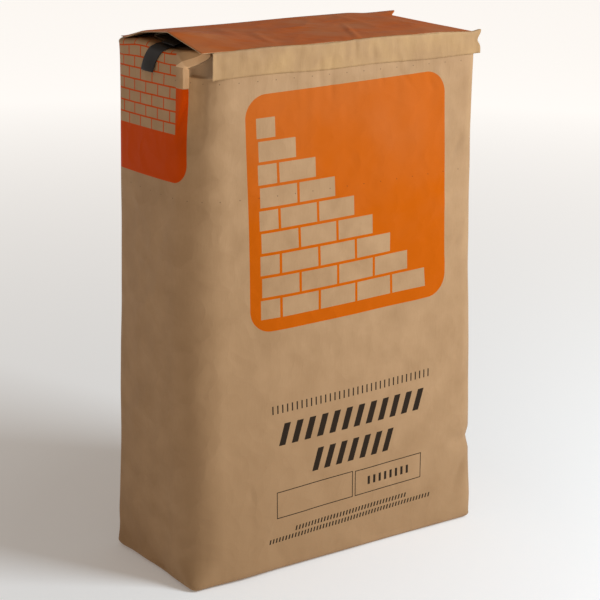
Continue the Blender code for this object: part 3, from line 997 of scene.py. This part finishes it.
def on_top(form, x, y):
    """Where the top sheet lies over a point of the block end."""
    slack = noise.noise(Vector((x / 0.06, y / 0.05, 3.0))) * 0.0007
    # The sheet's back right corner sticks out as a dog-ear, and its left edge stays straight
    tip = smooth(form.right - 0.030, form.right, x) * smooth(form.front - 0.022, form.front, y)
    inland = smooth(form.left, form.left + 0.05, x)
    creases = (pressed(COVER_CREASES, x, y) + slack) * inland
    edge = smooth(form.front, form.front - 0.006, abs(y))
    # Towards the back left corner the sheet sinks onto the sack, and the corner itself is cut off
    sunk = smooth(0.030, 0.074, y) * smooth(form.left + 0.060, form.left + 0.010, x)
    z = form.height + GAP + form.gape(x, y) * (1 - 0.9 * sunk) + max(creases * edge, -0.0001) + 0.0022 * tip
    z -= form.slump(x, y)
    cut = 0.006 * smooth(0.060, form.front, y)
    x += cut * (form.right - x) / (form.right - form.left) + 0.017 * tip
    return Vector((x, y, z))


class CEMENTBAG_OT_strip(bpy.types.Operator):
    """Adds the paper strip that is turned down over the front's top edge"""

    bl_idname = "cement_bag.strip"
    bl_label = "Turned-down strip"

    def execute(self, context):
        scene = context.scene
        sizes, colours = scene.bag_sizes, scene.bag_colours
        form = SackForm(sizes, scene.bag_valve)
        drop = FLAP_HIGH.z - FLAP_LOW.z
        turned_over = 0.0025
        bm = paper_grid((FLAP_LOW.x, 0.0), (FLAP_HIGH.x, drop + turned_over), sizes.cover_cell)
        for vert in bm.verts:
            vert.co = on_front(form, vert.co.x, drop - vert.co.y)
        kraft = paper_material("turned_down_kraft", colours.strip, colours.kraft_dark)
        pale = paper_material("cut_strip_edge", colours.cut_edge, colours.kraft)
        strip = add_piece("front_strip", bm, [kraft, pale], ["front_flap"])
        thicken(strip, PLY, offset=1, edge=1)
        return {"FINISHED"}


def on_front(form, x, drop):
    """Where a point of the turned-down strip lies: drop is measured down from the fold."""
    fold = form.height + GAP + SHEET
    end = smooth(form.right - 0.055, form.right + 0.004, x)
    ear = ramp(form.right - 0.020, FLAP_HIGH.x, x)
    waist = 0.0048 * hump(drop, 0.0100, 0.0060) * ear
    tip = smooth(form.right - 0.008, FLAP_HIGH.x, x) * smooth(0.012, 0.0, drop)
    z = fold - max(drop, 0.0) - 0.0034 * end * smooth(0.020, 0.0, drop) + 0.0006 * math.sin(x / 0.021)
    z += 0.0016 * tip
    shrink = form.half_width(z) / form.half
    held = min(max((x - form.middle(z)) / shrink, form.soft_corner - form.half), form.half - 0.014)
    under = form.settle(Vector((held, -form.front, min(z, form.height - form.rim))))
    lift = 0.0002 + 0.0009 * smooth(0.026, 0.008, drop)
    # The left end curls out of the front, with a dent beside it, and the ear stands off the corner
    curl = 0.0030 * smooth(FLAP_LOW.x + 0.005, FLAP_LOW.x, x)
    curl -= 0.0007 * hump(x, FLAP_LOW.x + 0.012, 0.004)
    # Short upright cockles, and one crease that starts in a notch of the fold
    curl += 0.0010 * noise.noise(Vector((x / 0.0075, drop / 0.020, 21))) * smooth(0.026, 0.016, drop)
    curl -= 0.0016 * hump(x, 0.004, 0.0018) * smooth(0.026, 0.0, drop)
    wave = 0.0012 * math.sin(ear * 6.0) * ear
    # Above the fold the strip turns back over the top
    y = under.y - lift - curl - wave - min(drop, 0.0)
    return Vector((x - waist, y, z))


class CEMENTBAG_OT_valve(bpy.types.Operator):
    """Adds the valve's paper sleeve and the dark film strip that hangs out of it"""

    bl_idname = "cement_bag.valve"
    bl_label = "Filling valve"

    def execute(self, context):
        scene = context.scene
        form = SackForm(scene.bag_sizes, scene.bag_valve)
        add_sleeve(form, scene.bag_colours)
        add_film(form, scene.bag_colours)
        return {"FINISHED"}


def add_sleeve(form, colours):
    """The flattened paper tube behind the mouth, held open by the gaping sheet."""
    bm = bmesh.new()
    bmesh.ops.create_cone(bm, cap_ends=False, segments=64, radius1=1, radius2=1, depth=1)
    bmesh.ops.subdivide_edges(bm, edges=[e for e in bm.edges if along(e, 2)], cuts=20)
    peak = form.valve.peak
    mouth = SLEEVE_LOW.x + 0.009
    for vert in bm.verts:
        inward = vert.co.z + 0.5
        x = mouth + inward * (SLEEVE_HIGH.x - mouth)
        taper = 1 - 0.15 * inward
        reach = SLEEVE_HIGH.y - peak if vert.co.x > 0 else peak - SLEEVE_LOW.y
        y = peak + vert.co.x * taper * reach
        low = form.height + GAP - form.droop(Vector((x, y, form.height)))
        high = form.height + form.gape(x, y)
        vert.co = (x, y, low + (high - low) * (0.5 + 0.5 * vert.co.y))
    # Painted shade: the sleeve's paper takes the dark brown, for the shade inside the mouth
    kraft = paper_material("valve_sleeve_kraft", colours.inside, colours.inside)
    sleeve = add_piece("sleeve_paper", bm, [kraft], ["valve_sleeve"])
    thicken(sleeve, PLY, offset=-1)


def add_film(form, colours):
    """The dark film strip: it lies in the valve, bends over the lip and hangs down the side."""
    wide = 0.023
    inside = FILM_HIGH.x - form.left - form.rim
    over = form.rim * math.pi / 2
    length = inside + over + form.height - form.rim - FILM_LOW.z
    bm = paper_grid((0, -wide / 2), (length, wide / 2), 0.0015)
    for vert in bm.verts:
        far, across = vert.co.x, vert.co.y
        share = far / length
        # Past the lip the film slides off towards the back, and then hangs straight
        past = max(far - inside - 0.4 * over, 0.0)
        slid = 0.0212 * (1 - math.exp(-past / 0.013)) - 0.0045 * ramp(inside, inside - 0.020, far)
        y = across - 0.0056 + slid
        turn = ramp(inside, inside + over, far) * math.pi / 2
        rest = Vector((
            form.rim - form.half - form.rim * math.sin(turn) + max(inside - far, 0.0), y,
            form.height - form.rim + form.rim * math.cos(turn) - max(far - inside - over, 0.0)))
        # The film rises into the mouth and bows along its middle, and its cut end stands off the sack
        rise = min(0.30 * max(inside - 0.002 - far, 0.0), 0.0050)
        lift = 0.0010 + 0.0007 * math.cos(across / wide * math.pi) + 0.0010 * smooth(0.70, 1.0, share) + rise
        vert.co = form.settle(rest, lift)
    film = add_piece("film_strip", bm, [film_material(colours)], ["valve_strip"])
    thicken(film, FILM, offset=0)


OPERATORS = (CEMENTBAG_OT_stage, CEMENTBAG_OT_sack, CEMENTBAG_OT_covers, CEMENTBAG_OT_strip,
             CEMENTBAG_OT_valve)
GROUPS = {"bag_sizes": BagSizes, "bag_valve": ValveSizes, "bag_prints": PrintSizes, "bag_colours": BagColours}


class CEMENTBAG_PT_panel(bpy.types.Panel):
    """Lists the steps that build the bag, and its sizes and colours"""

    bl_idname = "CEMENTBAG_PT_panel"
    bl_label = "Cement bag"
    bl_space_type = "VIEW_3D"
    bl_region_type = "UI"
    bl_category = "Cement bag"

    def draw(self, context):
        for step in OPERATORS:
            self.layout.operator(step.bl_idname)
        for name in GROUPS:
            group = getattr(context.scene, name)
            for key in group.bl_rna.properties.keys():
                if key not in ("rna_type", "name"):
                    self.layout.prop(group, key)


CLASSES = (*GROUPS.values(), *OPERATORS, CEMENTBAG_PT_panel)


def register():
    """Adds the classes, and the groups of sizes and colours to the scene"""
    for cls in CLASSES:
        bpy.utils.register_class(cls)
    for name, group in GROUPS.items():
        setattr(bpy.types.Scene, name, PointerProperty(type=group))


def unregister():
    """Takes them away again"""
    for name in GROUPS:
        delattr(bpy.types.Scene, name)
    for cls in reversed(CLASSES):
        bpy.utils.unregister_class(cls)


def main():
    """Builds the bag step by step"""
    register()
    bpy.ops.cement_bag.stage()
    bpy.ops.cement_bag.sack()
    bpy.ops.cement_bag.covers()
    bpy.ops.cement_bag.strip()
    bpy.ops.cement_bag.valve()


if __name__ == "__main__":
    main()
